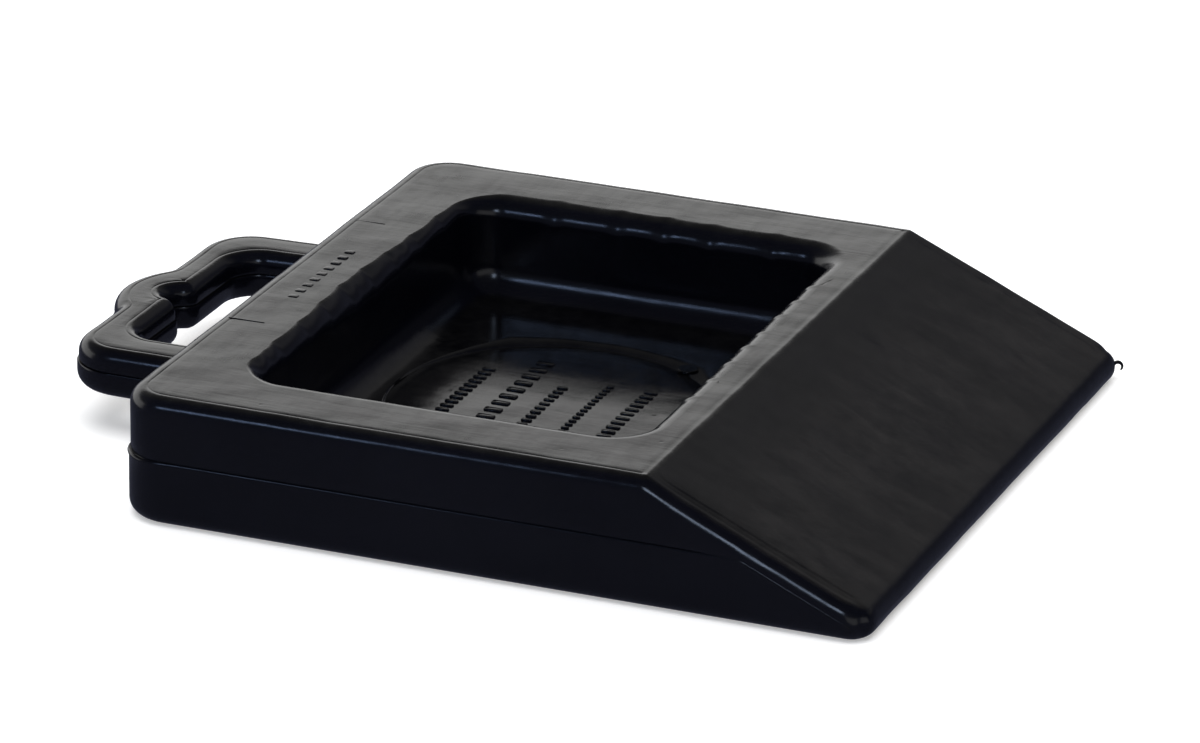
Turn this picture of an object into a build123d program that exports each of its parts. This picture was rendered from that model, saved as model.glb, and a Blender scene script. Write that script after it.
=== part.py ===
from build123d import *
import math
import os

os.makedirs("parts", exist_ok=True)

# A pallet truck wheel stop: a low hollow block with a ramp at one end, a rectangular well that the
# truck's steer wheels drop into, and a carry handle at the other end. It is moulded in polyethylene
# as two skins, upper and lower, which meet at the parting line.
# Frame: +X runs from the handle to the ramp's tip, +Y across, +Z up. The origin is the middle of the
# overall bounding box, on the ground. All sizes are in millimetres.

# Body
body_length = 312.5  # rear face to ramp tip
body_width = 305.0
body_height = 52.5
deck_length = 220.5  # rear face to the ridge where the ramp begins
nose_radius = 6.6  # rounding of the ramp tip, seen from the side
edge_radius = 6.4  # rounding of the lower skin's outer edges
upper_edge_radius = 5.8  # rounding of the upper skin's outer edges
rear_corner_radius = 19.5  # upright corners at the handle end
wall = 4.0  # thickness of both skins

# Parting line between the two skins
parting_height = 27.0
parting_step = 0.7  # how far the lower skin stands proud of the upper one

# Wheel well
well_margin = 40.0  # rear face to the well's rear wall
well_length = 161.0
well_width = 221.0
well_depth = 40.3
well_corner_radius = 15.0
well_rim_radius = 8.7
well_floor_radius = 12.0
badge_radius = 66.0  # round mark of the mould insert on the well floor
badge_depth = 0.4

# Vent plug in the well floor
plug_from_well_center = (37.5, 57.5)
plug_stem_radius = 3.0
plug_head_radius = 4.2
plug_head_height = 0.9
plug_tip_below_floor = 1.5

# Handle
handle_reach = 59.5  # rear face to the bar's outer side
handle_width = 153.5
handle_top = 36.2
handle_bottom = 16.0
handle_corner_radius = 21.5
handle_edge_radius = 7.5
bar_width = 20.4
opening_width = 102.5
opening_corner_radius = 11.0
handle_root = 2.0  # how deep the arms run into the rear wall
channel_wall = 4.0  # skin thickness round the handle's hollow core
core_root_length = 16.0  # stretch over which the core opens into the body

# Hanging notch in the middle of the bar, and the bulge outside it
notch_center_y = -1.0
notch_radius = 5.8
notch_inset = 2.4  # notch center behind the bar's inner side
notch_lip_radius = 8.0
bulge_reach = 9.3  # how far the bulge stands out from the bar
bulge_radius = 36.5
bulge_blend_radius = 6.0

# Places that follow from those sizes
overall_length = body_length + handle_reach + bulge_reach
tip_x = overall_length / 2
rear_x = tip_x - body_length
ridge_x = rear_x + deck_length
well_x = rear_x + well_margin + well_length / 2
well_floor = body_height - well_depth
bar_outer_x = rear_x - handle_reach
bar_inner_x = bar_outer_x + bar_width


def ramp_angle(radius):
    """Slope of the ramp, a line from the ridge that touches a nose of this radius."""
    run = tip_x - nose_radius - ridge_x
    drop = body_height - nose_radius
    return math.atan2(drop, run) - math.asin(radius / math.hypot(run, drop))


def side_outline(inset):
    """Side view of the body, drawn in by inset at the rear face and round the nose."""
    nose_x = tip_x - nose_radius
    radius = nose_radius - inset
    angle = ramp_angle(radius)
    ramp_foot = (nose_x + radius * math.sin(angle), nose_radius + radius * math.cos(angle))
    heel = (nose_x, inset)
    with BuildSketch() as outline:
        with BuildLine():
            Line(heel, (rear_x + inset, inset))
            Line((rear_x + inset, inset), (rear_x + inset, body_height))
            Line((rear_x + inset, body_height), (ridge_x, body_height))
            Line((ridge_x, body_height), ramp_foot)
            ThreePointArc(ramp_foot, (nose_x + radius, nose_radius), heel)
        make_face()
    return outline.sketch


def envelope(inset, rounding):
    """Outer form of the body, drawn in by inset on its sides."""
    with BuildPart() as body:
        with BuildSketch(Plane.XZ):
            add(side_outline(inset))
        extrude(amount=body_width / 2 - inset, both=True)
        fillet(body.edges().filter_by(Axis.Z), rear_corner_radius - inset)
        rear_edges = body.edges().filter_by(Axis.Y).group_by(Axis.X)[0]
        side_edges = body.edges().filter_by(Axis.Y, reverse=True).filter_by(Axis.Z, reverse=True)
        fillet(rear_edges + side_edges, rounding)
    return body.part


def side_region(points):
    """Block as wide as the whole body, with this outline in side view."""
    with BuildPart() as region:
        with BuildSketch(Plane.XZ):
            with BuildLine():
                Polyline(*points, close=True)
            make_face()
        extrude(amount=body_width, both=True)
    return region.part


# The parting surface is level round the body, then runs down inside the ramp's edge to the nose.
fall = math.tan(ramp_angle(nose_radius))
parting_bend_x = tip_x - nose_radius - (parting_height - nose_radius) / fall
beyond = 20.0  # how far the splitting blocks reach past the body
parting_line = [
    (-overall_length, parting_height),
    (parting_bend_x, parting_height),
    (tip_x - nose_radius, nose_radius),
    (tip_x + beyond, nose_radius),
]
sky = [(tip_x + beyond, body_height + beyond), (-overall_length, body_height + beyond)]
ground = [(tip_x + beyond, -beyond), (-overall_length, -beyond)]
above = side_region(parting_line + sky)
below = side_region(parting_line + ground)

# Hollow inside of the body, before the well is let into it
with BuildPart() as hollow:
    with BuildSketch(Plane.XZ):
        add(side_outline(0))
        offset(amount=-wall, kind=Kind.INTERSECTION, mode=Mode.REPLACE)
    extrude(amount=body_width / 2 - wall, both=True)
    fillet(hollow.edges().filter_by(Axis.Z).group_by(Axis.X)[0], rear_corner_radius - wall)


def handle_plan(inset):
    """Handle seen from above, drawn in by inset for its hollow core."""
    root_x = rear_x + handle_root
    bulge_half = math.sqrt(bulge_radius**2 - (bulge_radius - bulge_reach) ** 2)
    with BuildSketch() as plan:
        with Locations(((bar_outer_x + root_x) / 2, 0)):
            Rectangle(root_x - bar_outer_x, handle_width)
        fillet(plan.vertices().group_by(Axis.X)[0], handle_corner_radius)
        with BuildLine():
            ThreePointArc(
                (bar_outer_x, notch_center_y - bulge_half),
                (bar_outer_x - bulge_reach, notch_center_y),
                (bar_outer_x, notch_center_y + bulge_half),
            )
            Line((bar_outer_x, notch_center_y + bulge_half), (bar_outer_x, notch_center_y - bulge_half))
        make_face()
        bulge_ends = plan.vertices().sort_by_distance((bar_outer_x, notch_center_y))[:2]
        fillet(bulge_ends, bulge_blend_radius)
        with BuildSketch(mode=Mode.PRIVATE) as opening:
            with Locations(((bar_inner_x + root_x) / 2, 0)):
                Rectangle(root_x - bar_inner_x, opening_width)
            fillet(opening.vertices().group_by(Axis.X)[0], opening_corner_radius)
            with Locations((bar_inner_x - notch_inset, notch_center_y)):
                Circle(notch_radius)
            lips = opening.vertices().sort_by_distance((bar_inner_x, notch_center_y))[:2]
            fillet(lips, notch_lip_radius)
        add(opening.sketch, mode=Mode.SUBTRACT)
        if inset > 0:
            offset(amount=-inset, mode=Mode.REPLACE)
            with Locations((root_x, 0)):
                Rectangle(core_root_length, handle_width - 2 * inset)
                Rectangle(core_root_length, opening_width + 2 * inset, mode=Mode.SUBTRACT)
    return plan.sketch


def handle_half(height):
    """Half of the handle, standing height above the parting line, or below it if negative."""
    with BuildPart(Plane.XY.offset(parting_height)) as half:
        add(handle_plan(0))
        extrude(amount=height)
        outer_face = half.faces().sort_by(Axis.Z)[-1 if height > 0 else 0]
        rim = outer_face.edges().sort_by(Axis.X)[:-2]
        fillet(rim, handle_edge_radius)
    return half.part


def handle_core(height):
    """Hollow core of a handle half, which opens into the body."""
    with BuildPart(Plane.XY.offset(parting_height)) as core:
        add(handle_plan(channel_wall))
        extrude(amount=height)
    return core.part


def well_block(growth, depth, top):
    """Rounded rectangular block on the well's centre, grown sideways, reaching depth below top."""
    length = well_length + 2 * growth
    width = well_width + 2 * growth
    with BuildPart() as block:
        with BuildSketch(Plane.XY.offset(top)):
            with Locations((well_x, 0)):
                RectangleRounded(length, width, well_corner_radius + growth)
        extrude(amount=-depth)
        fillet(block.faces().sort_by(Axis.Z)[0].edges(), well_floor_radius + growth)
    return block.part


# Upper skin: deck, ramp, the tub of the wheel well and the upper half of the handle
plug_x = well_x + plug_from_well_center[0]
plug_y = plug_from_well_center[1]
with BuildPart() as upper_shell:
    add(envelope(parting_step, upper_edge_radius))
    add(above, mode=Mode.INTERSECT)
    add(hollow.part, mode=Mode.SUBTRACT)
    add(well_block(wall, well_depth, body_height - wall))
    add(handle_half(handle_top - parting_height))
    add(handle_core(handle_top - parting_height - channel_wall), mode=Mode.SUBTRACT)
    add(well_block(0, well_depth, body_height), mode=Mode.SUBTRACT)
    deck_edges = upper_shell.edges().group_by(Axis.Z)[-1]
    well_rim = deck_edges.sort_by_distance((well_x, 0, body_height))[:8]
    fillet(well_rim, well_rim_radius)
    with BuildSketch(Plane.XY.offset(well_floor)):
        with Locations((well_x, 0)):
            Circle(badge_radius)
    extrude(amount=-badge_depth, mode=Mode.SUBTRACT)
    with Locations((plug_x, plug_y, well_floor)):
        Hole(radius=plug_stem_radius, depth=wall + plug_tip_below_floor)
upper_shell.part.label = "upper_shell"
export_step(upper_shell.part, "parts/upper_shell.step")

# Lower skin: base, lower side walls and the lower half of the handle
with BuildPart() as lower_shell:
    add(envelope(0, edge_radius))
    add(below, mode=Mode.INTERSECT)
    add(hollow.part, mode=Mode.SUBTRACT)
    add(handle_half(handle_bottom - parting_height))
    add(handle_core(handle_bottom - parting_height + channel_wall), mode=Mode.SUBTRACT)
lower_shell.part.label = "lower_shell"
export_step(lower_shell.part, "parts/lower_shell.step")

# Vent plug: a domed head on the well floor and a stem through the skin
with BuildPart() as vent_plug:
    with BuildSketch(Plane.XY.offset(well_floor - wall - plug_tip_below_floor)):
        with Locations((plug_x, plug_y)):
            Circle(plug_stem_radius)
    extrude(amount=wall + plug_tip_below_floor)
    with BuildSketch(Plane.XY.offset(well_floor)):
        with Locations((plug_x, plug_y)):
            Circle(plug_head_radius)
    extrude(amount=plug_head_height)
    fillet(vent_plug.faces().sort_by(Axis.Z)[-1].edges(), plug_head_height / 2)
vent_plug.part.label = "vent_plug"
export_step(vent_plug.part, "parts/vent_plug.step")
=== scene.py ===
"""The looks of a pallet truck wheel stop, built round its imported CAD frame.

The CAD skins stay in the frame for collision. Detailed skins stand for them here: the same form, with
the moulded edges, creases, seam bead, worn well rim and slight warp of the real thing. Plain ribs stand
where the real one has rows of raised letters. Mesh code works in millimetres in the CAD frame, and
build() turns it into metres.
"""
import math

import bmesh
import bpy
import numpy as np
from mathutils import Matrix, Vector


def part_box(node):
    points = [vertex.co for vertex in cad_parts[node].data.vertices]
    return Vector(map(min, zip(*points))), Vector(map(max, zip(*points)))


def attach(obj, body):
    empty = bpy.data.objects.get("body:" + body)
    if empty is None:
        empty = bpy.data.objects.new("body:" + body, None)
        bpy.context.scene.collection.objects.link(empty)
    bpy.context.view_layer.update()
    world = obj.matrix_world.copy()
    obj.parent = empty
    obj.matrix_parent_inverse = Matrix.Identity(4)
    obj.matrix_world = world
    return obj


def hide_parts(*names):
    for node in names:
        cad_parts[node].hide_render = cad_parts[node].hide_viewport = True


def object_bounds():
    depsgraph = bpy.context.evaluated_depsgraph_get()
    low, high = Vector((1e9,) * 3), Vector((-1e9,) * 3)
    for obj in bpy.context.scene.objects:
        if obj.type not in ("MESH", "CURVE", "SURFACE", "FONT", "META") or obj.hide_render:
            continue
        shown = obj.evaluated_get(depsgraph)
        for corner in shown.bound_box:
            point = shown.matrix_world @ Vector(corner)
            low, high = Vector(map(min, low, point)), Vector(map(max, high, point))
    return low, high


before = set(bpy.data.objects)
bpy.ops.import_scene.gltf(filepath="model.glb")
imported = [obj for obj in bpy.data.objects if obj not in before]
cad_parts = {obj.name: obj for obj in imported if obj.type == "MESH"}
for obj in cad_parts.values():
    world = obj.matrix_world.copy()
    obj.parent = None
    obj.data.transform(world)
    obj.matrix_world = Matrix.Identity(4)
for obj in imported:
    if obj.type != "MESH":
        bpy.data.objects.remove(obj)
cad_low, cad_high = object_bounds()

MM = 0.001

# Body, from the CAD box and the same driving sizes as the CAD model
TIP_X = cad_high.x / MM
HALF_WIDTH = cad_high.y / MM
HEIGHT = cad_high.z / MM
REAR_X = TIP_X - 312.5
RIDGE_X = REAR_X + 220.5
CORNER = 19.5  # upright rear corners
NOSE = 6.6  # rounding of the tip, seen from the side
NOSE_X = TIP_X - NOSE
TIP_CORNER = 10.4  # rounding of the tip's corners, seen from above
EDGE = 6.4  # rounding of the outer edges, above and below
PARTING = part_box("lower_shell")[1].z / MM
STEP = 0.7  # the lower skin stands this proud of the upper one

# Wheel well
WELL_X = REAR_X + 40 + 161 / 2
WELL_HALF = (161 / 2, 221 / 2)
WELL_CORNER = 15.0
WELL_FLOOR = HEIGHT - 40.3
RIM = 8.7
FLOOR_ROUND = 13.5
DRAFT = 1.0  # how far the walls lean in on their way down
TUB_WALL = 4.0
TUB_FOOT = (4, 14)  # how far in the tub's rounded underside reaches, at its start and its end
POCKET_GAP = 0.3  # clearance between the tub and the lower skin's pocket
BADGE = 66.0  # round mark of the mould insert
BADGE_DEPTH = 0.4

# Handle
HANDLE_X = REAR_X - 59.5
BAR_X = HANDLE_X + 20.4
ARM_OUTER = 153.5 / 2
ARM_INNER = 102.5 / 2
HANDLE_TOP = 36.2
HANDLE_BOTTOM = 16.0
HANDLE_EDGE_TOP = 6.2  # rounding of the handle's upper edges
HANDLE_EDGE_BOTTOM = 6.5
HANDLE_CORNER = 21.5
OPENING_CORNER = 11.0
HANDLE_ROOT = REAR_X + 3
NOTCH_Y = -1.0
NOTCH_R = 5.8
NOTCH_X = BAR_X - 2.4
LIP_R = 6.6
BULGE_R = 36.5
BULGE_X = HANDLE_X - 9.3 + BULGE_R
BLEND_R = 6.0

RUN = NOSE_X - RIDGE_X
DROP = HEIGHT - NOSE
SLOPE = math.atan2(DROP, RUN) - math.asin(NOSE / math.hypot(RUN, DROP))


# ---------------------------------------------------------------- mesh helpers

def smooth(t):
    """Runs from 0 to 1 without corners as t does."""
    t = np.clip(t, 0, 1)
    return t * t * (3 - 2 * t)


def hump(x, middle, width):
    """A soft hump, 1 high, at middle."""
    return np.exp(-(((x - middle) / width) ** 2))


def ripples(points, wavelength, seed, stretch=(1, 1, 1)):
    """Smooth random waves of about unit height, the same on every run."""
    source = np.random.default_rng(seed)
    total = np.zeros(len(points))
    for _ in range(9):
        direction = source.normal(size=3) * np.array(stretch)
        direction *= source.uniform(0.6, 1.5) * math.tau / wavelength / 1.7
        total += np.cos(points @ direction + source.uniform(0, math.tau))
    return total / 3


WELD = 0.004  # points this close become one
SHARP = math.radians(50)  # edges bent by more than this stay sharp in the shading


class Skin:
    """A mesh gathered from grids of points. Points that coincide become one."""

    def __init__(self):
        self.points = []
        self.faces = []
        self.count = 0

    def add(self, points):
        """Takes in points and returns their numbers."""
        self.points.append(points)
        self.count += len(points)
        return np.arange(self.count - len(points), self.count)

    def grid(self, points, loop=False):
        """Quads between neighbours of a (rows, columns, 3) array. A loop joins last column to first."""
        points = np.asarray(points, float)
        index = self.add(points.reshape(-1, 3)).reshape(points.shape[:2])
        if loop:
            index = np.concatenate([index, index[:, :1]], 1)
        corners = (index[:-1, :-1], index[:-1, 1:], index[1:, 1:], index[1:, :-1])
        self.faces += np.stack([c.ravel() for c in corners], 1).tolist()

    def face(self, points):
        """One face with these corners."""
        self.faces.append(self.add(np.asarray(points, float)).tolist())

    def build(self, name, change=None):
        """The mesh as an object in metres. change turns all points and normals into moved points."""
        mesh = bpy.data.meshes.new(name)
        mesh.from_pydata(np.concatenate(self.points).tolist(), [], self.faces)
        work = bmesh.new()
        work.from_mesh(mesh)
        bmesh.ops.remove_doubles(work, verts=work.verts, dist=WELD)
        bmesh.ops.dissolve_degenerate(work, edges=work.edges, dist=WELD / 2)
        bmesh.ops.holes_fill(work, edges=[e for e in work.edges if e.is_boundary])
        bmesh.ops.recalc_face_normals(work, faces=work.faces)
        work.normal_update()
        if change:
            points = np.array([v.co for v in work.verts])
            normals = np.array([v.normal for v in work.verts])
            for vertex, place in zip(work.verts, change(points, normals)):
                vertex.co = place
        for vertex in work.verts:
            vertex.co *= MM
        work.to_mesh(mesh)
        work.free()
        mesh.polygons.foreach_set("use_smooth", [True] * len(mesh.polygons))
        mesh.set_sharp_from_angle(angle=SHARP)
        piece = bpy.data.objects.new(name, mesh)
        bpy.context.scene.collection.objects.link(piece)
        return piece


def stations(start, end, count, last=False):
    """Evenly spaced values from start to end, with the end itself only if last."""
    return np.linspace(start, end, count, endpoint=last)


def at_height(plan, z):
    """Plan points as 3-D points at that height, which may differ from point to point."""
    return np.column_stack([plan, np.broadcast_to(z, len(plan))])


# ---------------------------------------------------------------- outlines seen from above

NEAR = 115  # points along the near side of the deck, and the far side
ARC = 20  # points round a corner
REAR = 150
FRONT = 165
TURN = 12  # of the front's points, those that face half a front corner of the well


def deck_side(inset, ridge_x):
    """Near side, rear and far side of the body, from the ridge to the ridge, drawn in by inset."""
    y = HALF_WIDTH - inset
    corner_x = REAR_X + CORNER
    corner_y = HALF_WIDTH - CORNER
    radius = CORNER - inset
    along = stations(ridge_x, corner_x, NEAR)
    turn = stations(0, math.pi / 2, ARC)
    across = stations(-corner_y, corner_y, REAR)
    near = np.column_stack([along, np.full(NEAR, -y)])
    first = np.column_stack([corner_x - radius * np.sin(turn), -corner_y - radius * np.cos(turn)])
    rear = np.column_stack([np.full(REAR, REAR_X + inset), across])
    second = np.column_stack([corner_x - radius * np.cos(turn), corner_y + radius * np.sin(turn)])
    back = stations(corner_x, ridge_x, NEAR, True)
    far = np.column_stack([back, np.full(NEAR, y)])
    return np.concatenate([near, first, rear, second, far])


def ridge_line(inset, x):
    """The deck's front side between the two ends of deck_side, without them."""
    y = HALF_WIDTH - inset
    across = stations(y, -y, FRONT + 1, True)[1:-1]
    return np.column_stack([np.full(FRONT - 1, x), across])


def deck_loop(inset, ridge_x):
    """The whole outline of the deck, drawn in by inset, with its front side at ridge_x."""
    return np.concatenate([deck_side(inset, ridge_x), ridge_line(inset, ridge_x)])


def well_outline():
    """The well's wall seen from above, point for point with deck_loop, and its outward directions."""
    cx, cy = WELL_HALF[0] - WELL_CORNER, WELL_HALF[1] - WELL_CORNER
    quarter = math.pi / 2
    turn = stations(0, quarter, ARC)
    places, ways = [], []

    def arc(x, y, angles):
        way = np.column_stack([np.cos(angles), np.sin(angles)])
        places.append(np.array([x, y]) + WELL_CORNER * way)
        ways.append(way)

    def straight(start, end, way, count):
        places.append(np.linspace(start, end, count, endpoint=False))
        ways.append(np.tile(way, (count, 1)))

    arc(cx, -cy, stations(-quarter / 2, -quarter, TURN))
    straight((cx, -WELL_HALF[1]), (-cx, -WELL_HALF[1]), (0, -1), NEAR - TURN)
    arc(-cx, -cy, -quarter - turn)
    straight((-WELL_HALF[0], -cy), (-WELL_HALF[0], cy), (-1, 0), REAR)
    arc(-cx, cy, 2 * quarter - turn)
    straight((-cx, WELL_HALF[1]), (cx, WELL_HALF[1]), (0, 1), NEAR - TURN)
    arc(cx, cy, stations(quarter, quarter / 2, TURN, True))
    arc(cx, cy, stations(quarter / 2, 0, TURN)[1:])
    straight((WELL_HALF[0], cy), (WELL_HALF[0], -cy), (1, 0), FRONT - 2 * TURN)
    arc(cx, -cy, stations(0, -quarter / 2, TURN))
    plan, way = np.concatenate(places), np.concatenate(ways)
    return plan + np.array([WELL_X, 0]), way


WELL_PLAN, WELL_WAY = well_outline()


def well_loop(outset):
    """The well's outline moved outwards, by one amount or by one for each point."""
    return WELL_PLAN + WELL_WAY * np.broadcast_to(outset, len(WELL_PLAN))[:, None]


# ---------------------------------------------------------------- profile of the body seen from the side

def ramp_point(inset, along):
    """x and z on the ramp, drawn in by inset. along runs from 0 at the ridge to 1 at the nose."""
    start_x = RIDGE_X - inset * math.tan(SLOPE / 2)
    start_z = HEIGHT - inset
    end_x = NOSE_X + (NOSE - inset) * math.sin(SLOPE)
    end_z = NOSE + (NOSE - inset) * math.cos(SLOPE)
    return start_x + (end_x - start_x) * along, start_z + (end_z - start_z) * along


def nose_point(inset, angle):
    """x and z round the nose, drawn in by inset. angle is measured from straight up."""
    radius = NOSE - inset
    return NOSE_X + radius * np.sin(angle), NOSE + radius * np.cos(angle)


def parting_height(x):
    """Height of the parting line: level, then down inside the ramp's edge to the nose."""
    return np.clip(NOSE + (NOSE_X - x) * math.tan(SLOPE), NOSE, PARTING)


RAMP = stations(0, 1, 56, True)
OVER_NOSE = stations(SLOPE, math.pi / 2, 7, True)
UNDER_NOSE = stations(math.pi / 2, math.pi, 9, True)
ROUND = stations(0, math.pi / 2, 9, True)  # across an outer edge, from the side to the top
CREASE = np.array([0.0, 0.3, 0.6, 0.9, 1.3])  # inside the rounded edge
CREASE_DEPTH = np.array([0.0, 0.05, 0.12, 0.06, 0.0])
RAMP_CREASE = (1.2, 1.9, 2.6, 3.5, 4.6)  # how far in from the ramp's rounded edge
RAMP_CREASE_DEPTH = (0.20, 0.03, 0.18, 0.02, 0.0)
RIDGE_SHARE = 3.6  # the crease beside the ridge lies this much further in
TOP_INSET = STEP + EDGE
TOP_HALF = HALF_WIDTH - TOP_INSET  # middle to the deck's edge
UNDERCUT = 0.25  # the upper skin draws in this much more at the parting line
FOOT = STEP + UNDERCUT
WALL_SHARES = (0.03, 0.35, 0.7, 1)  # rows up a side wall, from the parting line to the rounded edge
RIDGE_LOW = RIDGE_X - EDGE * math.tan(SLOPE / 2)  # the ridge's line at the foot of the rounded edge


def edge_insets(angle, radius=EDGE):
    """How far a rounded edge draws in sideways and from the top at this angle, measured from the side."""
    return radius * (1 - math.cos(angle)), radius * (1 - math.sin(angle))


def along_ramp(inset):
    """x and z down the ramp and over the upper half of the nose, drawn in by inset."""
    x, z = ramp_point(inset, RAMP)
    nose_x, nose_z = nose_point(inset, OVER_NOSE[1:])
    return np.append(x, nose_x), np.append(z, nose_z)


def ramp_wall():
    """x along the ramp's side wall, and its foot's and top's heights, which nearly meet at the nose."""
    x, top = along_ramp(EDGE)
    least = 0.5 * (NOSE_X - np.minimum(x, NOSE_X)) / RUN
    return x, np.minimum(parting_height(x), top - least), top


def body_top(skin):
    """Side walls, rounded edges, deck, ramp and the upper half of the nose."""
    # Walls and rounded edges along the deck
    wall_top = HEIGHT - EDGE
    base = deck_side(FOOT, RIDGE_LOW)
    rows = [at_height(base, parting_height(base[:, 0]))]
    for share in WALL_SHARES:
        plan = deck_side(STEP, RIDGE_LOW)
        low = parting_height(plan[:, 0])
        rows.append(at_height(plan, low + (wall_top - low) * share))
    for angle in ROUND[1:]:
        sideways, down = edge_insets(angle)
        plan = deck_side(STEP + sideways, RIDGE_X - down * math.tan(SLOPE / 2))
        rows.append(at_height(plan, HEIGHT - down))
    skin.grid(rows)

    # The same along the ramp's two sides
    for side in (-1, 1):
        x, low, top = ramp_wall()
        rows = []
        for share, inset in [(0, FOOT)] + [(share, STEP) for share in WALL_SHARES]:
            y = np.full(len(x), side * (HALF_WIDTH - inset))
            rows.append(np.column_stack([x, y, low + (top - low) * share]))
        for angle in ROUND[1:]:
            sideways, down = edge_insets(angle)
            x, z = along_ramp(down)
            rows.append(np.column_stack([x, np.full(len(x), side * (HALF_WIDTH - STEP - sideways)), z]))
        skin.grid(rows)

    # Ramp and the upper half of the nose, with two fine creases inside each side edge
    across = stations(TOP_HALF, -TOP_HALF, FRONT + 1, True)
    x, z = along_ramp(0)
    drawn = across.copy()
    depth = np.zeros(len(across))
    for ends in (slice(1, 6), slice(-2, -7, -1)):
        side = np.sign(across[ends][0])
        drawn[ends] = side * (TOP_HALF - np.array(RAMP_CREASE))
        depth[ends] = RAMP_CREASE_DEPTH
    rows = []
    for px, pz in zip(x, z):
        share = (px - RIDGE_X) / (TIP_X - RIDGE_X)
        weight = float(smooth(share / 0.06) * smooth((0.96 - share) / 0.08))
        y = across + (drawn - across) * weight
        sink = depth * weight
        rows.append(np.column_stack([px - sink * math.sin(SLOPE), y, pz - sink * math.cos(SLOPE)]))
    skin.grid(rows)


SCALLOP = 23  # spacing of the scallops in the rear rim
FAR_DENTS = (-45.6, -17.3, 3.2, 23.6, 51.4)  # x of the dents in the far rim
FRONT_NICKS = (69, 51, 33, 13, -4, -23, -42, -64)  # y of the nicks in the front rim
RIM_BREAK = 24  # degrees at which the worn rear rim leaves the deck


def rim_radius():
    """Rounding of the well's rim, point for point. Use has worn the rear side into scallops."""
    x, y = WELL_PLAN[:, 0], WELL_PLAN[:, 1]
    rear = smooth(-WELL_WAY[:, 0])
    front = smooth(WELL_WAY[:, 0])
    far = smooth(WELL_WAY[:, 1])
    worn = 8.6 + 3.4 * hump(y, 0, 40) - 2.4 * smooth(y / 100) - RIM
    scallops = 1.5 * (0.6 - np.abs(np.sin(math.pi * (y + 9 + 3 * np.sin(y / 31)) / SCALLOP)))
    chips = 0.35 * np.sin(y / 2.9 + 2 * np.sin(y / 7)) * (0.5 + 0.5 * np.sin(y / 19))
    nicks = sum(hump(y, place, 1.3) for place in FRONT_NICKS)
    dents = sum(hump(x, place, 3.2) for place in FAR_DENTS)
    return RIM + rear * (worn + scallops + chips) - 1.1 * front * nicks + 1.3 * far * dents


def rim_profile(rim):
    """Outsets and depths down the rim, row by row. The rear side starts with a break from the deck."""
    start = np.radians(RIM_BREAK) * smooth(-WELL_WAY[:, 0])
    radius = rim / np.cos(start)
    for share in stations(0, 1, 11, True):
        angle = start + (math.pi / 2 - start) * share
        yield radius * (1 - np.sin(angle)), radius * (np.cos(start) - np.cos(angle))


def well_top(skin):
    """The deck between its edge and the well, and the well itself."""
    rows = []
    for inset, depth in zip(CREASE, CREASE_DEPTH):
        plan = deck_loop(TOP_INSET + inset, RIDGE_X - inset * RIDGE_SHARE)
        rows.append(at_height(plan, HEIGHT - depth))
    outer = rows[-1]
    rim = rim_radius()
    profile = list(rim_profile(rim))
    inner = at_height(well_loop(profile[0][0] + 0.4), HEIGHT)
    for share in stations(0, 1, 13, True)[1:]:
        rows.append(outer + (inner - outer) * share)
    for outset, depth in profile:
        rows.append(at_height(well_loop(outset), HEIGHT - depth))
    top, bottom = HEIGHT - rim, WELL_FLOOR + FLOOR_ROUND
    for share in stations(0, 1, 9, True)[1:]:
        rows.append(at_height(well_loop(-DRAFT * share), top + (bottom - top) * share))
    for angle in stations(0, math.pi / 2, 11, True)[1:]:
        outset = -DRAFT - FLOOR_ROUND * (1 - math.cos(angle))
        rows.append(at_height(well_loop(outset), bottom - FLOOR_ROUND * math.sin(angle)))
    middle = np.array([WELL_X, 0])
    away = rows[-1][:, :2] - middle
    way = away / np.linalg.norm(away, axis=1)[:, None]
    ring = middle + way * (BADGE + 0.7)
    for share in (0.25, 0.5, 0.75, 1):
        rows.append(at_height(middle + away + (ring - middle - away) * share, WELL_FLOOR))
    # The mark's fine groove, then its flat middle
    for radius, depth in ((BADGE + 0.3, 0.45), (BADGE - 0.2, 0.55), (BADGE - 0.6, BADGE_DEPTH)):
        rows.append(at_height(middle + way * radius, WELL_FLOOR - depth))
    for radius in (60, 52, 44, 36, 28, 20, 12, 5, 0):
        rows.append(at_height(middle + way * radius, WELL_FLOOR - BADGE_DEPTH))
    skin.grid(rows, loop=True)


def underside_of_top(skin):
    """Hidden closure: the parting surface, and the outside of the tub below it."""
    rows = [at_height(deck_loop(FOOT, RIDGE_LOW), PARTING)]
    rows.append(at_height(well_loop(TUB_WALL), PARTING))
    rows.append(at_height(well_loop(TUB_WALL), WELL_FLOOR + FLOOR_ROUND))
    rows.append(at_height(well_loop(-TUB_FOOT[0]), WELL_FLOOR - 1))
    rows.append(at_height(well_loop(-TUB_FOOT[1]), WELL_FLOOR - TUB_WALL))
    rows.append(np.tile([WELL_X, 0, WELL_FLOOR - TUB_WALL], (len(WELL_PLAN), 1)))
    skin.grid(rows, loop=True)
    # Below the ramp
    y = HALF_WIDTH - FOOT
    rows = []
    for px, pz in zip(*ramp_wall()[:2]):
        line_y = np.concatenate([[y], ridge_line(FOOT, px)[:, 1], [-y]])
        rows.append(np.column_stack([np.full(len(line_y), px), line_y, np.full(len(line_y), pz)]))
    skin.grid(rows)
    # Across the tip, level with the middle of the nose
    across = stations(TOP_HALF, -TOP_HALF, FRONT + 1, True)
    nose = np.column_stack([np.full(FRONT + 1, TIP_X), across, np.full(FRONT + 1, NOSE)])
    skin.grid([rows[-1], nose])
    for side, corner in ((1, rows[-1][0]), (-1, rows[-1][-1])):
        x = TIP_X - EDGE * (1 - np.sin(ROUND))
        y = side * (HALF_WIDTH - STEP - EDGE * (1 - np.cos(ROUND)))
        skin.face(np.concatenate([[corner], np.column_stack([x, y, np.full(len(x), NOSE)])]))


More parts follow.
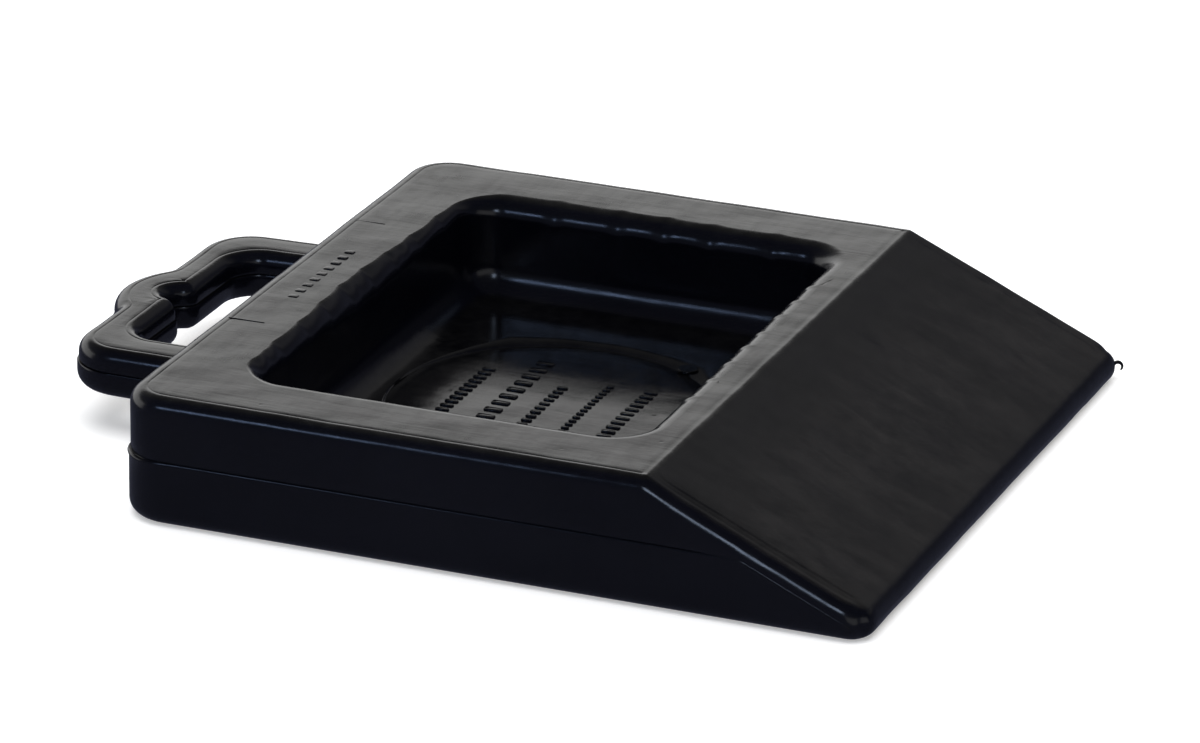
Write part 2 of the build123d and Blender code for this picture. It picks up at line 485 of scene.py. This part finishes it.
# The seam bead from the parting line down: the lower skin's inset, or its bulge if negative, and drop
BEAD = (
    (0.95, 0.0), (0.8, -0.4), (0.5, -0.4), (0.2, -0.12),
    (-0.1, -0.45), (-0.2, -0.9), (-0.15, -1.5), (0.0, -2.3),
)
BEAD_SWELL = 3.2  # the bulge at the bead's full size, in these same steps


def bead_size(x, y):
    """Share of the full seam bead left at each place: full at the rear corners, faint along the sides."""
    near_corner = np.hypot(np.minimum(x - REAR_X, 60), HALF_WIDTH - np.abs(y))
    return 0.05 + 0.95 * np.exp(-((near_corner / 16) ** 2)) + 0.2 * hump(x, REAR_X, 12)


def body_bottom(skin):
    """Lower side walls with the seam bead, rounded lower edges, base and the lower half of the nose."""
    def lower_path(inset):
        """The whole side seen from above, from the nose round the rear to the nose."""
        x = stations(NOSE_X, RIDGE_X, len(RAMP))
        y = np.full(len(x), HALF_WIDTH - inset)
        body = deck_side(inset, RIDGE_X)
        return np.concatenate([np.column_stack([x, -y]), body, np.column_stack([x, y])[::-1]])

    plan = lower_path(0)
    outward = lower_path(-1) - plan
    top = parting_height(plan[:, 0])
    room = np.clip((top - NOSE - 1) / 12, 0, 1)  # the bead dies out where the parting line nears the nose
    swell = BEAD_SWELL * bead_size(plan[:, 0], plan[:, 1]) * room
    wall_foot = np.full(len(plan), EDGE)
    rows = []
    for inset, drop in BEAD:
        bulged = lower_path(max(inset, 0)) + outward * (max(-inset, 0) * swell)[:, None]
        rows.append(at_height(bulged, np.maximum(top + drop, wall_foot)))
    start = rows[-1][:, 2]
    for share in (0.33, 0.66, 1):
        rows.append(at_height(plan, start + (wall_foot - start) * share))
    for angle in ROUND[1:]:
        sideways, up = edge_insets(angle)
        rows.append(at_height(lower_path(sideways), up))
    skin.grid(rows)

    # Round the lower half of the nose, and its two corners
    across = stations(HALF_WIDTH - EDGE, EDGE - HALF_WIDTH, FRONT + 1, True)
    nose_rows = []
    for angle in UNDER_NOSE:
        x, z = nose_point(0, angle)
        nose_rows.append(np.column_stack([np.full(FRONT + 1, x), across, np.full(FRONT + 1, z)]))
    skin.grid(nose_rows)
    for side in (-1, 1):
        corner_rows = []
        for angle in ROUND:
            sideways, inset = edge_insets(angle)
            x, z = nose_point(inset, UNDER_NOSE)
            corner_rows.append(np.column_stack([x, np.full(len(x), side * (HALF_WIDTH - sideways)), z]))
        skin.grid(corner_rows)

    # Base
    front = np.column_stack([np.full(FRONT - 1, NOSE_X), across[1:-1]])
    outline = np.concatenate([rows[-1][:, :2], front])
    middle = np.array([REAR_X + 150, 0])
    shares = (1, 0.95, 0.8, 0.5, 0.2, 0)
    skin.grid([at_height(middle + (outline - middle) * share, 0) for share in shares], loop=True)

    # Hidden closure: the parting surface, with a pocket that the tub stands in
    inset = BEAD[0][0]
    clear = TUB_WALL + POCKET_GAP
    pocket = [
        at_height(deck_loop(inset, RIDGE_X), PARTING),
        at_height(well_loop(clear), PARTING),
        at_height(well_loop(clear), WELL_FLOOR + FLOOR_ROUND),
        at_height(well_loop(POCKET_GAP - TUB_FOOT[0]), WELL_FLOOR - 1 - POCKET_GAP),
        at_height(well_loop(POCKET_GAP - TUB_FOOT[1]), WELL_FLOOR - clear),
        np.tile([WELL_X, 0, WELL_FLOOR - clear], (len(WELL_PLAN), 1)),
    ]
    skin.grid(pocket, loop=True)
    edge = HALF_WIDTH - inset
    bed_y = stations(edge, -edge, FRONT + 1, True)
    bed = []
    for x in np.append(stations(NOSE_X, RIDGE_X, len(RAMP)), RIDGE_X):
        flat = np.ones(len(bed_y))
        bed.append(np.column_stack([flat * x, bed_y, flat * parting_height(x)]))
    skin.grid(bed)
    skin.grid([bed[0], nose_rows[0]])


# ---------------------------------------------------------------- handle

def arc(centre, radius, start, end, count, facing=1):
    """Points round an arc, without its end, and directions out from its centre, or in if facing is -1."""
    angles = np.radians(stations(start, end, count))
    way = np.column_stack([np.cos(angles), np.sin(angles)])
    return np.array(centre) + radius * way, facing * way


def line(start, end, way, count):
    """Points along a straight line, without its end, and one direction for all."""
    return np.linspace(start, end, count, endpoint=False), np.tile(way, (count, 1)).astype(float)


def join(*runs):
    """Runs of points and directions, end to end."""
    return np.concatenate([run[0] for run in runs]), np.concatenate([run[1] for run in runs])


def handle_paths():
    """The handle's two outlines from above, point for point, with directions into the material."""
    # Points along each stretch
    arm, bend, bar, blend, crown = 28, 20, 18, 9, 34
    lip, hollow = 10, 20
    beside_lip = (2 * blend + crown - 2 * lip - hollow) // 2
    # Outer outline, with the bulge behind the notch
    reach = BULGE_X - HANDLE_X + BLEND_R
    blend_y = math.sqrt((BULGE_R + BLEND_R) ** 2 - reach ** 2)
    blend_end = math.degrees(math.atan2(blend_y, reach))
    low, high = NOTCH_Y - blend_y, NOTCH_Y + blend_y
    cx, cy = HANDLE_X + HANDLE_CORNER, ARM_OUTER - HANDLE_CORNER
    outer = join(
        line((HANDLE_ROOT, -ARM_OUTER), (cx, -ARM_OUTER), (0, 1), arm),
        arc((cx, -cy), HANDLE_CORNER, -90, -180, bend, -1),
        line((HANDLE_X, -cy), (HANDLE_X, low), (1, 0), bar),
        arc((HANDLE_X - BLEND_R, low), BLEND_R, 0, blend_end, blend),
        arc((BULGE_X, NOTCH_Y), BULGE_R, 180 + blend_end, 180 - blend_end, crown, -1),
        arc((HANDLE_X - BLEND_R, high), BLEND_R, -blend_end, 0, blend),
        line((HANDLE_X, high), (HANDLE_X, cy), (1, 0), bar),
        arc((cx, cy), HANDLE_CORNER, 180, 90, bend, -1),
        line((cx, ARM_OUTER), (HANDLE_ROOT, ARM_OUTER), (0, -1), arm),
    )
    # Inner outline, with the hanging notch
    cx, cy = BAR_X + OPENING_CORNER, ARM_INNER - OPENING_CORNER
    lip_x = BAR_X - LIP_R
    lip_y = math.sqrt((NOTCH_R + LIP_R) ** 2 - (lip_x - NOTCH_X) ** 2)
    lip_end = math.degrees(math.atan2(lip_y, NOTCH_X - lip_x))
    inner = join(
        line((HANDLE_ROOT, -ARM_INNER), (cx, -ARM_INNER), (0, -1), arm),
        arc((cx, -cy), OPENING_CORNER, -90, -180, bend),
        line((BAR_X, -cy), (BAR_X, low), (-1, 0), bar),
        line((BAR_X, low), (BAR_X, NOTCH_Y - lip_y), (-1, 0), beside_lip),
        arc((lip_x, NOTCH_Y - lip_y), LIP_R, 0, lip_end, lip, -1),
        arc((NOTCH_X, NOTCH_Y), NOTCH_R, 180 + lip_end, 180 - lip_end, hollow),
        arc((lip_x, NOTCH_Y + lip_y), LIP_R, -lip_end, 0, lip, -1),
        line((BAR_X, NOTCH_Y + lip_y), (BAR_X, high), (-1, 0), beside_lip),
        line((BAR_X, high), (BAR_X, cy), (-1, 0), bar),
        arc((cx, cy), OPENING_CORNER, 180, 90, bend),
        line((cx, ARM_INNER), (HANDLE_ROOT, ARM_INNER), (0, 1), arm),
    )
    return outer, inner


def handle_half(skin, level, proud):
    """The handle between the parting line and level. Its walls stand proud of the upper half's."""
    outer, inner = handle_paths()
    rise = 1 if level > PARTING else -1
    edge = HANDLE_EDGE_TOP if rise > 0 else HANDLE_EDGE_BOTTOM
    wall = level - rise * edge

    # Insets and heights from the parting line up the wall, round the edge and over the crease
    start = STEP - proud
    profile = []
    for inset, share in ((start + 0.3, 0), (start, 0.12), (start, 0.5), (start, 1)):
        profile.append((inset, PARTING + (wall - PARTING) * share))
    for angle in ROUND[1:]:
        inset = start + (edge - start) * (1 - math.cos(angle))
        profile.append((inset, wall + rise * edge * math.sin(angle)))
    for inset, depth in zip(CREASE[1:], CREASE_DEPTH[1:]):
        profile.append((edge + inset, level - rise * depth))
    outside = [at_height(outer[0] + outer[1] * inset, z) for inset, z in profile]
    inside = [at_height(inner[0] + inner[1] * inset, z) for inset, z in profile]
    middle = [outside[-1] + (inside[-1] - outside[-1]) * share for share in (0.33, 0.67)]
    section = outside + middle + inside[::-1]
    skin.grid(section + section[:1])
    for end in (0, -1):
        skin.face([row[end] for row in section])


# ---------------------------------------------------------------- wear, warp and small parts

SQUARENESS = 6  # the higher this is, the more abruptly the tip's corner turns at its middle


def round_tip(points):
    """Rounds the tip's two corners, seen from above."""
    corner_x, corner_y = TIP_X - TIP_CORNER, HALF_WIDTH - TIP_CORNER
    a = points[:, 0] - corner_x
    b = np.abs(points[:, 1]) - corner_y
    inside = (a > 0) & (b > 0)
    a_in, b_in = np.maximum(a, 1e-6), np.maximum(b, 1e-6)
    larger = (a_in ** SQUARENESS + b_in ** SQUARENESS) ** (1 / SQUARENESS)
    scale = larger / np.hypot(a_in, b_in)
    out = points.copy()
    out[:, 0] = np.where(inside, corner_x + a * scale, points[:, 0])
    out[:, 1] = np.where(inside, np.sign(points[:, 1]) * (corner_y + b * scale), points[:, 1])
    return out


ARM_LEAN = 3.2  # how far the far arm leans in by the time it reaches the bar
BAR_SKEW = 1.4  # how far out of square the bar is at each end


def warp_handle(points):
    """The moulding cooled a little askew: the far arm leans in and the bar isn't quite square."""
    reach = np.clip((REAR_X - points[:, 0]) / (REAR_X - HANDLE_X), 0, 1.2)
    far = smooth((points[:, 1] + 35) / 70)
    outside = points[:, 0] < REAR_X - 0.5
    y_shift = (1 - far) * 0.9 + far * (1.8 - ARM_LEAN * reach)
    x_shift = BAR_SKEW * points[:, 1] / ARM_OUTER * reach
    out = points.copy()
    out[:, 0] += np.where(outside, x_shift, 0)
    out[:, 1] += np.where(outside, y_shift * smooth(reach * 6), 0)
    return out


def weathered(points, normals):
    """Rounds the tip, warps the handle and lets the skin sink and swell by about 0.1 mm."""
    clear = smooth(np.abs(points[:, 2] - parting_height(points[:, 0])) / 4) * smooth(points[:, 2] / 3)
    wave = 0.10 * ripples(points, 62, 3) + 0.035 * ripples(points, 19, 5, (1, 1, 0.5))
    on_ramp = smooth((points[:, 0] - RIDGE_X - 4) / 10)
    wave += on_ramp * 0.025 * ripples(points, 11, 8, (0.15, 1, 0))
    moved = points + normals * (wave * clear)[:, None]
    return warp_handle(round_tip(moved))


STRIP = 5.5  # width of the sunken strip inside the ramp's near edge
STRIP_DEPTH = 0.6


def weathered_top(points, normals):
    """The same for the upper skin, whose sides come out flush with the lower skin's along the ramp."""
    out = points.copy()
    along = smooth((points[:, 0] - RIDGE_X - 5) / 45)
    outer = smooth((np.abs(points[:, 1]) - (HALF_WIDTH - 14)) / 7)
    out[:, 1] += np.sign(points[:, 1]) * (STEP + 0.06) * along * outer
    # A strip inside the ramp's near edge has sunk towards that edge
    strip = np.clip((STRIP - TOP_HALF - points[:, 1]) / STRIP, 0, 1)
    ends = smooth((points[:, 0] - RIDGE_X - 2) / 12) * smooth((TIP_X - 6 - points[:, 0]) / 10)
    out[:, 2] -= STRIP_DEPTH * strip * ends * smooth((normals[:, 2] - 0.02) / 0.3)
    return weathered(out, normals)


RIB_CORNER = 0.8
RIB_SUNK = 0.3  # how deep a rib's foot lies in the surface it stands on


def rib(skin, x, y, z, size, height):
    """A low bar with a rounded top and rounded ends."""
    half = np.array(size) / 2
    corner = min(RIB_CORNER, *half * 0.95)
    turn = np.radians(np.arange(0, 360, 15) + 7.5)
    way = np.column_stack([np.cos(turn), np.sin(turn)])
    core = np.array([x, y]) + np.sign(way) * (half - corner)
    rows = [np.tile([x, y, z - RIB_SUNK], (len(turn), 1))]
    for inset, up in ((0, -RIB_SUNK), (0, height * 0.5), (0.12, height * 0.85), (0.35, height)):
        rows.append(at_height(core + way * corner * (1 - inset), z + up))
    rows.append(np.tile([x, y, z + height], (len(turn), 1)))
    skin.grid(rows, loop=True)


# Start and end in x, start and end in y, and number of ribs, which are all alike within a row
RIB_ROWS = (
    (-41.6, -35.8, -24.0, 29.0, 11),
    (-23.6, -16.0, -25.5, 45.2, 9),
    (-5.6, -1.0, -25.8, 21.4, 10),
    (12.2, 15.6, -26.2, 29.9, 14),
    (28.4, 34.4, -24.9, 30.9, 11),
)
REAR_ROW = (-103.8, -99.6, -29.8, 32.6, 9)
RIB_SHARE = 0.45  # of the pitch, the rest being gap
RIB_HEIGHT = 0.6
REAR_RIB_HEIGHT = 0.25
REAR_LINES = ((-108.2, 65.0, 12.8), (-107.6, -58.4, 15.6))  # middle in x and y, length


def ribs():
    """Rows of plain raised ribs on the well floor and behind the well, and two fine lines there."""
    skin = Skin()
    rows = [(row, WELL_FLOOR - BADGE_DEPTH, RIB_HEIGHT) for row in RIB_ROWS]
    rows.append((REAR_ROW, HEIGHT, REAR_RIB_HEIGHT))
    for (x0, x1, y0, y1, count), level, height in rows:
        pitch = (y1 - y0) / count
        for i in range(count):
            rib(skin, (x0 + x1) / 2, y0 + pitch * (i + 0.5), level, (x1 - x0, pitch * RIB_SHARE), height)
    for x, y, length in REAR_LINES:
        rib(skin, x, y, HEIGHT, (length, 0.5), 0.18)
    return skin.build("raised_ribs")


def flash_curl():
    """A thin curl of moulding flash that hooks out from the far corner of the tip."""
    skin = Skin()
    out = np.array([0.93, 0.37, 0])
    across = np.array([-0.37, 0.93, 0])
    up = np.array([0, 0, 1])
    centre = np.array([TIP_X - 0.9, HALF_WIDTH - 2.4, 4.9])
    turn = stations(0, math.tau, 10)
    rows = []
    for share in stations(0, 1, 17, True):
        angle = math.radians(185 - 235 * share)
        along = math.cos(angle) * out + math.sin(angle) * up
        size = 0.85 * (1 - 0.6 * share ** 4)
        ring = np.outer(np.cos(turn), along) * size * 0.8 + np.outer(np.sin(turn), across) * size * 1.5
        rows.append(centre + 1.9 * along + ring)
    skin.grid(rows, loop=True)
    skin.face(rows[0])
    skin.face(rows[-1])
    return skin.build("flash_curl")


# ---------------------------------------------------------------- materials

def add_node(tree, kind, links, settings):
    """A node with its settings, and its inputs linked, or set where a plain value is given."""
    node = tree.nodes.new(kind)
    for key, value in settings.items():
        setattr(node, key, value)
    for socket, value in links.items():
        if isinstance(value, bpy.types.NodeSocket):
            tree.links.new(value, node.inputs[socket])
        else:
            node.inputs[socket].default_value = value
    return node


class Nodes:
    """Short hand for building a material out of nodes."""

    def __init__(self, name):
        self.material = bpy.data.materials.new(name)
        self.material.use_nodes = True
        self.tree = self.material.node_tree
        self.tree.nodes.clear()

    def add(self, kind, links=None, **settings):
        return add_node(self.tree, kind, links or {}, settings)

    def noise(self, place, scale, detail=3.0, roughness=0.55, distortion=0.0):
        links = {
            "Vector": place, "Scale": scale, "Detail": detail,
            "Roughness": roughness, "Distortion": distortion,
        }
        return self.add("ShaderNodeTexNoise", links).outputs["Fac"]

    def stretch(self, place, scale):
        return self.add("ShaderNodeMapping", {"Vector": place, "Scale": scale}).outputs["Vector"]

    def spread(self, value, low, high, to_low=0.0, to_high=1.0):
        links = {"Value": value, "From Min": low, "From Max": high, "To Min": to_low, "To Max": to_high}
        return self.add("ShaderNodeMapRange", links, interpolation_type="SMOOTHSTEP").outputs["Result"]

    def math(self, operation, a, b=0.0):
        return self.add("ShaderNodeMath", {0: a, 1: b}, operation=operation).outputs[0]

    def blend(self, factor, a, b):
        return self.add("ShaderNodeMix", {0: factor, 2: a, 3: b}, data_type="FLOAT").outputs[0]

    def mix(self, factor, a, b):
        return self.add("ShaderNodeMix", {0: factor, 6: a, 7: b}, data_type="RGBA").outputs[2]

    def bump(self, height, strength, depth):
        """Normals of a surface with this relief, of this depth in millimetres."""
        links = {"Height": height, "Strength": strength, "Distance": depth * MM}
        return self.add("ShaderNodeBump", links).outputs["Normal"]

    def plastic(self, colour, roughness, normal):
        """Ends the material in a plastic surface, and returns it."""
        links = {"Base Color": colour, "Roughness": roughness, "Normal": normal, "IOR": 1.50}
        shader = self.add("ShaderNodeBsdfPrincipled", links).outputs["BSDF"]
        self.add("ShaderNodeOutputMaterial", {"Surface": shader})
        return self.material


def polyethylene():
    """Black moulded polyethylene: glossy on the sides, whose colour holds a painted bluish reflection,
    scuffed to a mottled satin on top.
    """
    n = Nodes("black_polyethylene_moulded")
    place = n.add("ShaderNodeTexCoord").outputs["Object"]
    position = n.add("ShaderNodeSeparateXYZ", {0: place}).outputs
    height_up = position["Z"]
    on_ramp = n.spread(position["X"], (RIDGE_X - 1) * MM, (RIDGE_X + 4) * MM)
    normal = n.add("ShaderNodeNewGeometry").outputs["Normal"]
    facing = n.add("ShaderNodeSeparateXYZ", {0: normal}).outputs["Z"]
    on_top = n.spread(facing, 0.80, 0.97)
    deck_level = n.spread(height_up, 0.033, 0.0515)  # up-facing surfaces lower than the deck, the well floor and the handle's top, are darker and glossier

    blotches = n.noise(place, 22, 4, 0.6, 0.4)
    mottle = n.noise(place, 130, 4, 0.6)
    streaks = n.noise(n.stretch(place, (260, 14, 200)), 1, 4, 0.6)
    cross_streaks = n.noise(n.stretch(place, (12, 240, 200)), 1, 4, 0.6)
    cross_soft = n.noise(n.stretch(place, (9, 75, 60)), 1, 5, 0.6, 0.5)
    grain = n.noise(place, 1500, 2, 0.6)
    scuff = n.math("MULTIPLY", n.spread(blotches, 0.30, 0.75, 0.35, 1), n.spread(mottle, 0.25, 0.8))
    swept = n.spread(cross_soft, 0.35, 0.7)
    rubbed = n.math("ADD", n.math("MULTIPLY", scuff, 0.6), n.math("MULTIPLY", swept, 0.4))

    clouds = n.spread(blotches, 0.3, 0.7)
    # Black sides with a painted bluish reflection of the studio's blue light mixed into their colour
    side_colour_blue_reflection = n.mix(clouds, (0.0011, 0.0013, 0.0030, 1), (0.0018, 0.0020, 0.0042, 1))
    well_colour = n.mix(scuff, (0.0008, 0.0008, 0.0012, 1), (0.0040, 0.0040, 0.0042, 1))
    ramp_colour = n.mix(rubbed, (0.0006, 0.0006, 0.0008, 1), (0.0215, 0.0200, 0.0190, 1))
    low_colour = n.mix(on_ramp, well_colour, ramp_colour)
    deck_colour = n.mix(scuff, (0.0020, 0.0020, 0.0022, 1), (0.0095, 0.0095, 0.0090, 1))
    colour = n.mix(on_top, side_colour_blue_reflection, n.mix(deck_level, low_colour, deck_colour))

    rough_side = n.spread(mottle, 0.3, 0.7, 0.16, 0.22)
    swept = n.spread(cross_soft, 0.3, 0.7, -0.01, 0.05)
    rough_low = n.math("ADD", n.spread(scuff, 0.0, 0.8, 0.12, 0.18), swept)
    streaked = n.spread(streaks, 0.3, 0.75, -0.02, 0.04)
    rough_deck = n.math("ADD", n.spread(scuff, 0.0, 0.8, 0.17, 0.27), streaked)
    rough_top = n.blend(deck_level, rough_low, rough_deck)
    rough = n.blend(on_top, rough_side, rough_top)

    cells = {"Vector": place, "Scale": 95.0, "Randomness": 1.0}
    nearest = n.add("ShaderNodeTexVoronoi", cells, feature="F1").outputs["Distance"]
    few = n.spread(n.noise(place, 60, 1), 0.62, 0.7)
    pits = n.math("MULTIPLY", n.spread(nearest, 0.05, 0.12, 1, 0), few)
    height = n.math("ADD", n.math("MULTIPLY", grain, 0.10), n.math("MULTIPLY", mottle, 0.35))
    height = n.math("ADD", height, n.math("MULTIPLY", streaks, 0.10))
    height = n.math("ADD", height, n.math("MULTIPLY", cross_streaks, 0.06))
    height = n.math("ADD", height, n.math("MULTIPLY", cross_soft, 0.9))
    height = n.math("SUBTRACT", height, n.math("MULTIPLY", pits, 0.5))
    return n.plastic(colour, rough, n.bump(height, 0.35, 0.4))


def plug_plastic():
    """Smooth black plastic of the vent plug, with a faint moulded ripple."""
    n = Nodes("black_plug_plastic")
    place = n.add("ShaderNodeTexCoord").outputs["Object"]
    ripple = n.noise(place, 420, 3)
    colour = n.mix(n.spread(ripple, 0.3, 0.7), (0.0008, 0.0008, 0.0010, 1), (0.0020, 0.0020, 0.0024, 1))
    return n.plastic(colour, n.spread(ripple, 0.3, 0.7, 0.12, 0.2), n.bump(ripple, 0.3, 0.3))


# ---------------------------------------------------------------- pieces

def placed(piece, slot, material, *nodes):
    """Gives a piece its material and body, and hides the CAD nodes it stands for. The slot is not used.
    """
    piece.data.materials.clear()
    piece.data.materials.append(material)
    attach(piece, "root")
    if nodes:
        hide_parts(*nodes)
    return piece


black = polyethylene()
skin = Skin()
body_top(skin)
well_top(skin)
underside_of_top(skin)
handle_half(skin, HANDLE_TOP, 0)
placed(skin.build("upper_skin", weathered_top), "black_polyethylene", black, "upper_shell")
skin = Skin()
body_bottom(skin)
handle_half(skin, HANDLE_BOTTOM, STEP)
placed(skin.build("lower_skin", weathered), "black_polyethylene", black, "lower_shell")
placed(ribs(), "black_polyethylene", black)
placed(flash_curl(), "black_polyethylene", black)
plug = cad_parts["vent_plug"]
plug.data.materials.clear()
plug.data.materials.append(plug_plastic())


# ---------------------------------------------------------------- stage, light and camera

def floor():
    """A pale matt floor that glows faintly, so that it reads as white. Shiny parts don't mirror it."""
    bpy.ops.mesh.primitive_plane_add(size=14, location=(0, 0, 0))
    plane = bpy.context.object
    plane.name = "floor"
    n = Nodes("pale_floor")
    lit = n.add("ShaderNodeBsdfDiffuse", {"Color": (0.92, 0.92, 0.92, 1)}).outputs[0]
    glow = n.add("ShaderNodeEmission", {"Color": (1.0, 0.99, 0.97, 1), "Strength": 0.4}).outputs[0]
    surface = n.add("ShaderNodeAddShader", {0: lit, 1: glow}).outputs[0]
    n.add("ShaderNodeOutputMaterial", {"Surface": surface})
    plane.data.materials.append(n.material)
    plane.visible_glossy = False


LIGHT_AIM = Vector((0.03, 0, 0.03))


def soft_light(name, size, energy, colour, azimuth, elevation, distance, shiny=True):
    """A square soft box that looks at the object from that direction."""
    a, e = math.radians(azimuth), math.radians(elevation)
    way = Vector((math.sin(a) * math.cos(e), -math.cos(a) * math.cos(e), math.sin(e)))
    data = bpy.data.lights.new(name, "AREA")
    data.size = size
    data.energy = energy
    data.color = colour
    lamp = bpy.data.objects.new(name, data)
    lamp.location = LIGHT_AIM + way * distance
    lamp.rotation_mode = "QUATERNION"
    lamp.rotation_quaternion = (-way).to_track_quat("-Z", "Y")
    lamp.visible_glossy = shiny
    bpy.context.scene.collection.objects.link(lamp)


def surroundings():
    """A dim studio with a bright low sector behind the object, which the deck mirrors.

    A weaker sector stands in front, and a soft grey wall on the far side, which the ramp mirrors.
    """
    world = bpy.data.worlds.new("studio")
    world.use_nodes = True
    bpy.context.scene.world = world
    tree = world.node_tree
    tree.nodes.clear()

    def node(kind, links=None, **settings):
        return add_node(tree, kind, links or {}, settings)

    def ramp(value, stops):
        """Colours by height, from stops of a height between -1 and 1 and a colour."""
        made = node("ShaderNodeValToRGB", {"Fac": value})
        elements = made.color_ramp.elements
        while len(elements) < len(stops):
            elements.new(0.5)
        for element, (level, colour) in zip(elements, stops):
            element.position = (level + 1) / 2
            element.color = (*colour, 1)
        return made.outputs["Color"]

    def sector(way, low, high):
        """1 towards that compass direction, falling to 0 away from it."""
        toward = node("ShaderNodeVectorMath", {0: level_way, 1: way}, operation="DOT_PRODUCT")
        links = {"Value": toward.outputs["Value"], "From Min": low, "From Max": high}
        return node("ShaderNodeMapRange", links, interpolation_type="SMOOTHSTEP").outputs["Result"]

    place = node("ShaderNodeTexCoord").outputs["Generated"]
    flat = node("ShaderNodeVectorMath", {0: place, 1: (1, 1, 0)}, operation="MULTIPLY").outputs["Vector"]
    level_way = node("ShaderNodeVectorMath", {0: flat}, operation="NORMALIZE").outputs["Vector"]
    up = node("ShaderNodeSeparateXYZ", {0: place}).outputs["Z"]
    height = node("ShaderNodeMapRange", {"Value": up, "From Min": -1}).outputs["Result"]
    floor_blue = (0.075, 0.080, 0.115)
    zenith = (0.03, 0.03, 0.035)
    bright = ramp(height, (
        (-1, floor_blue), (-0.04, floor_blue), (0.0, (1.0, 1.0, 1.0)), (0.385, (1.0, 1.0, 0.99)),
        (0.47, (0.09, 0.09, 0.092)), (1, zenith),
    ))
    dim = ramp(height, ((-1, floor_blue), (0.0, floor_blue), (0.4, (0.045, 0.050, 0.066)), (1, zenith)))
    wall = ramp(height, (
        (-1, floor_blue), (0.0, floor_blue), (0.34, (0.05, 0.05, 0.06)), (0.47, (0.17, 0.167, 0.170)),
        (0.62, (0.13, 0.13, 0.13)), (0.78, (0.04, 0.04, 0.045)), (1, zenith),
    ))
    behind = sector((-0.866, 0.5, 0), 0.56, 0.74)
    front = sector((0.707, -0.707, 0), 0.80, 0.93)
    weak_front = node("ShaderNodeMath", {0: front, 1: 0.4}, operation="MULTIPLY").outputs[0]
    both = node("ShaderNodeMath", {0: behind, 1: weak_front}, operation="MAXIMUM").outputs[0]
    far_side = sector((0, 1, 0), 0.2, 0.7)
    shaded = node("ShaderNodeMix", {0: far_side, 6: dim, 7: wall}, data_type="RGBA").outputs[2]
    mixed = node("ShaderNodeMix", {0: both, 6: shaded, 7: bright}, data_type="RGBA").outputs[2]
    background = node("ShaderNodeBackground", {"Color": mixed, "Strength": 1.1})
    node("ShaderNodeOutputWorld", {"Surface": background.outputs[0]})


# The camera: its direction from the target, its roll, and its distance in metres
VIEW_AZIMUTH = math.radians(21.821)
VIEW_ELEVATION = math.radians(21.352)
VIEW_ROLL = math.radians(0.692)
VIEW_DISTANCE = 2.7673
VIEW_TARGET = Vector((0.02081, -0.00052, 0.030))


def camera():
    data = bpy.data.cameras.new("camera")
    data.sensor_width = 36
    data.lens = 207.79
    data.clip_start = 0.1
    data.clip_end = 50
    back = Vector((
        math.sin(VIEW_AZIMUTH) * math.cos(VIEW_ELEVATION),
        -math.cos(VIEW_AZIMUTH) * math.cos(VIEW_ELEVATION),
        math.sin(VIEW_ELEVATION),
    ))
    right = Vector((math.cos(VIEW_AZIMUTH), math.sin(VIEW_AZIMUTH), 0))
    up = back.cross(right)
    rolled_right = math.cos(VIEW_ROLL) * right + math.sin(VIEW_ROLL) * up
    rolled_up = math.cos(VIEW_ROLL) * up - math.sin(VIEW_ROLL) * right
    eye = bpy.data.objects.new("camera", data)
    turn = Matrix((rolled_right, rolled_up, back)).transposed().to_4x4()
    eye.matrix_world = Matrix.Translation(VIEW_TARGET + back * VIEW_DISTANCE) @ turn
    bpy.context.scene.collection.objects.link(eye)
    bpy.context.scene.camera = eye


floor()
surroundings()
soft_light("overhead", 3.0, 80, (1, 1, 1), 0, 90, 2.2, shiny=False)
soft_light("front_box", 0.30, 1.7, (0.62, 0.76, 1.0), 10, 33, 1.6)
soft_light("side_box", 0.22, 0.8, (0.45, 0.62, 1.0), -30, 32, 1.6)
camera()
bpy.context.scene.view_settings.view_transform = "Standard"
